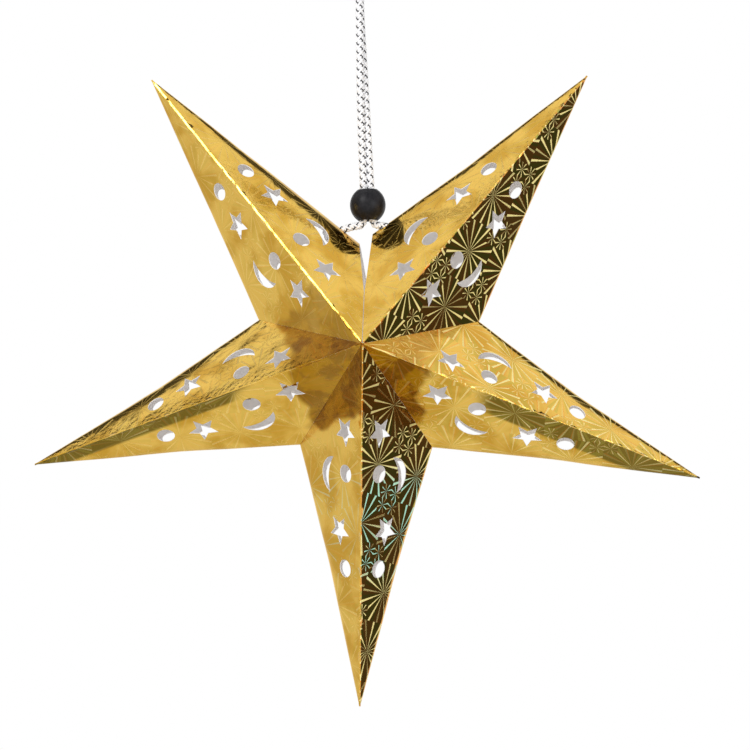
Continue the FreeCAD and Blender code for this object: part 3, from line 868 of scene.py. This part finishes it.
bead_low = (Vector(ROUTE_FROM_CENTRE[3]) + Vector(ROUTE_FROM_CENTRE[12])) / 2.0
bead_high = (Vector(ROUTE_FROM_CENTRE[5]) + Vector(ROUTE_FROM_CENTRE[11])) / 2.0
bead_axis = (bead_high - bead_low).normalized()
bead_middle = STAR_CENTRE + bead_low + bead_axis * ((BEAD_HEIGHT - bead_low.z) / bead_axis.z)
bm = bmesh.new()
half = BEAD_LENGTH / 2.0
rim_radius = BORE_RADIUS + MOUTH_ROUNDING
curve_radius = ((BEAD_RADIUS - rim_radius) ** 2 + half ** 2) / (2.0 * (BEAD_RADIUS - rim_radius))
centre_x = BEAD_RADIUS - curve_radius
reach = math.asin(half / curve_radius)
start = bm.verts.new((rim_radius, 0.0, half))
bmesh.ops.spin(bm, geom=[start], cent=(centre_x, 0.0, 0.0), axis=(0, 1, 0), angle=2.0 * reach,
               steps=BEAD_WALL_STEPS)
lower = min(bm.verts, key=lambda vert: vert.co.z)
bmesh.ops.spin(bm, geom=[lower], cent=(rim_radius, 0.0, -half + MOUTH_ROUNDING), axis=(0, 1, 0),
               angle=math.pi / 2.0, steps=BEAD_MOUTH_STEPS)
bmesh.ops.spin(bm, geom=[start], cent=(rim_radius, 0.0, half - MOUTH_ROUNDING), axis=(0, 1, 0),
               angle=-math.pi / 2.0, steps=BEAD_MOUTH_STEPS)
bore = sorted((vert for vert in bm.verts if abs(vert.co.x - BORE_RADIUS) < 1e-6), key=lambda vert: vert.co.z)
bm.edges.new((bore[0], bore[-1]))
bmesh.ops.spin(bm, geom=bm.verts[:] + bm.edges[:], cent=(0, 0, 0), axis=(0, 0, 1), angle=math.tau,
               steps=BEAD_TURN_STEPS, use_merge=True)
bmesh.ops.remove_doubles(bm, verts=bm.verts, dist=1e-6)
bmesh.ops.recalc_face_normals(bm, faces=bm.faces)
tilt = Vector((0, 0, 1)).rotation_difference(bead_axis).to_matrix().to_4x4()
bmesh.ops.transform(bm, matrix=Matrix.Translation(bead_middle) @ tilt, verts=bm.verts)
bead_mesh = bpy.data.meshes.new("stopper_bead_turned")
bm.to_mesh(bead_mesh)
bm.free()
bead_mesh.polygons.foreach_set("use_smooth", [True] * len(bead_mesh.polygons))
bead_mesh.set_sharp_from_angle(angle=math.radians(BEAD_CRISP_ANGLE))
bead = bpy.data.objects.new("stopper_bead_turned", bead_mesh)
bpy.context.scene.collection.objects.link(bead)

satin_black = bpy.data.materials.new("satin black")
satin_black.use_nodes = True
tree = satin_black.node_tree
satin = tree.nodes["Principled BSDF"]
place = tree.nodes.new("ShaderNodeTexCoord").outputs["Object"]
mottle = add_node(tree, "ShaderNodeTexNoise", place, None, 500.0, 4.0).outputs[0]
colour = mix_colour(tree, soft_step(tree, mottle, 0.35, 0.7), BEAD_BLACK, BEAD_CHARCOAL)
tree.links.new(colour, satin.inputs["Base Color"])
satin.inputs["Specular IOR Level"].default_value = 0.22
tree.links.new(soft_step(tree, mottle, 0.3, 0.7, 0.36, 0.46), satin.inputs["Roughness"])
bump = tree.nodes.new("ShaderNodeBump")
bump.inputs["Strength"].default_value = 0.15
bump.inputs["Distance"].default_value = 0.0001
tree.links.new(mottle, bump.inputs["Height"])
tree.links.new(bump.outputs[0], satin.inputs["Normal"])
bead.data.materials.append(satin_black)
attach(bead, "bead")
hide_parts("stopper_bead")

# Studio
# A plain pale floor well below the hanging star, a pale surround with darker sides for the foil
# to mirror, two soft lamps, and the camera at the photograph's angle.
FLOOR_DROP = 0.95
FLOOR_RADIUS = 1.1
DARK_DIRECTION = -20.0       # the room's dark side, which the right-hand leaves mirror
DARK_STRENGTH = 0.93

bm = bmesh.new()
below_star = Matrix.Translation((0, 0, -FLOOR_DROP))
bmesh.ops.create_circle(bm, cap_ends=True, segments=96, radius=FLOOR_RADIUS, matrix=below_star)
floor_mesh = bpy.data.meshes.new("floor")
bm.to_mesh(floor_mesh)
bm.free()
floor = bpy.data.objects.new("floor", floor_mesh)
bpy.context.scene.collection.objects.link(floor)
pale = bpy.data.materials.new("pale floor")
pale.use_nodes = True
tree = pale.node_tree
tree.nodes["Principled BSDF"].inputs["Roughness"].default_value = 0.9
place = tree.nodes.new("ShaderNodeTexCoord").outputs["Object"]
cloud = add_node(tree, "ShaderNodeTexNoise", place, None, 3.0, 2.0).outputs[0]
colour = mix_colour(tree, cloud, (0.88, 0.88, 0.88, 1.0), (0.92, 0.92, 0.92, 1.0))
tree.links.new(colour, tree.nodes["Principled BSDF"].inputs["Base Color"])
floor.data.materials.append(pale)

world = bpy.data.worlds.new("surround")
bpy.context.scene.world = world
world.use_nodes = True
tree = world.node_tree
tree.nodes.clear()
toward = tree.nodes.new("ShaderNodeTexCoord").outputs["Generated"]
dark_side = direction(DARK_DIRECTION)
facing = add_node(tree, "ShaderNodeVectorMath", toward, tuple(dark_side), operation="DOT_PRODUCT")
right_dark = soft_step(tree, facing.outputs["Value"], 0.80, 0.92)
parts = add_node(tree, "ShaderNodeSeparateXYZ", toward)
sideways = maths(tree, "ABSOLUTE", parts.outputs[1])
strip_start = soft_step(tree, sideways, 0.345, 0.38)
strip_end = soft_step(tree, sideways, 0.60, 0.74, 1.0, 0.0)
strip = maths(tree, "MULTIPLY", strip_start, strip_end)
strip = maths(tree, "MULTIPLY", strip, soft_step(tree, parts.outputs[2], 0.0, 0.25))
dark = maths(tree, "MAXIMUM", right_dark, strip)
level = maths(tree, "MULTIPLY_ADD", dark, -DARK_STRENGTH, 1.0)
left_side = soft_step(tree, parts.outputs[0], -0.95, -0.55, 0.78, 1.0)
level = maths(tree, "MULTIPLY", level, left_side)
camera_ray = tree.nodes.new("ShaderNodeLightPath").outputs["Is Camera Ray"]
level = maths(tree, "MAXIMUM", level, camera_ray)
background = tree.nodes.new("ShaderNodeBackground")
background.inputs["Color"].default_value = (1.0, 1.0, 1.0, 1.0)
tree.links.new(level, background.inputs["Strength"])
output = tree.nodes.new("ShaderNodeOutputWorld")
tree.links.new(background.outputs[0], output.inputs["Surface"])


def soft_lamp(name, place, size, power):
    """A square soft box aimed at the star."""
    lamp = bpy.data.lights.new(name, "AREA")
    lamp.shape = "SQUARE"
    lamp.size = size
    lamp.energy = power
    holder = bpy.data.objects.new(name, lamp)
    bpy.context.scene.collection.objects.link(holder)
    holder.location = Vector(place)
    holder.rotation_euler = (STAR_CENTRE - Vector(place)).to_track_quat("-Z", "Y").to_euler()


soft_lamp("key_light", (-0.9, -1.3, 0.9), 0.7, 14.0)
soft_lamp("fill_light", (1.1, -1.2, 0.1), 0.9, 6.0)

CAMERA_AZIMUTH = 3.0
CAMERA_ELEVATION = -4.0
CAMERA_DISTANCE = 1.58
CAMERA_LENS = 169.0
AIM_RIGHT = 0.00295
AIM_DOWN = 0.0102

azimuth = math.radians(CAMERA_AZIMUTH)
elevation = math.radians(CAMERA_ELEVATION)
back = Vector((
    math.sin(azimuth) * math.cos(elevation),
    -math.cos(azimuth) * math.cos(elevation),
    math.sin(elevation),
))
turn = (-back).to_track_quat("-Z", "Y")
aim = STAR_CENTRE + turn @ Vector((AIM_RIGHT, -AIM_DOWN, 0.0))
camera = bpy.data.objects.new("camera", bpy.data.cameras.new("camera"))
bpy.context.scene.collection.objects.link(camera)
camera.data.lens = CAMERA_LENS
camera.data.sensor_width = 36.0
camera.data.clip_start = 0.05
camera.location = aim + back * CAMERA_DISTANCE
camera.rotation_euler = turn.to_euler()
bpy.context.scene.camera = camera
bpy.context.scene.view_settings.view_transform = "Standard"
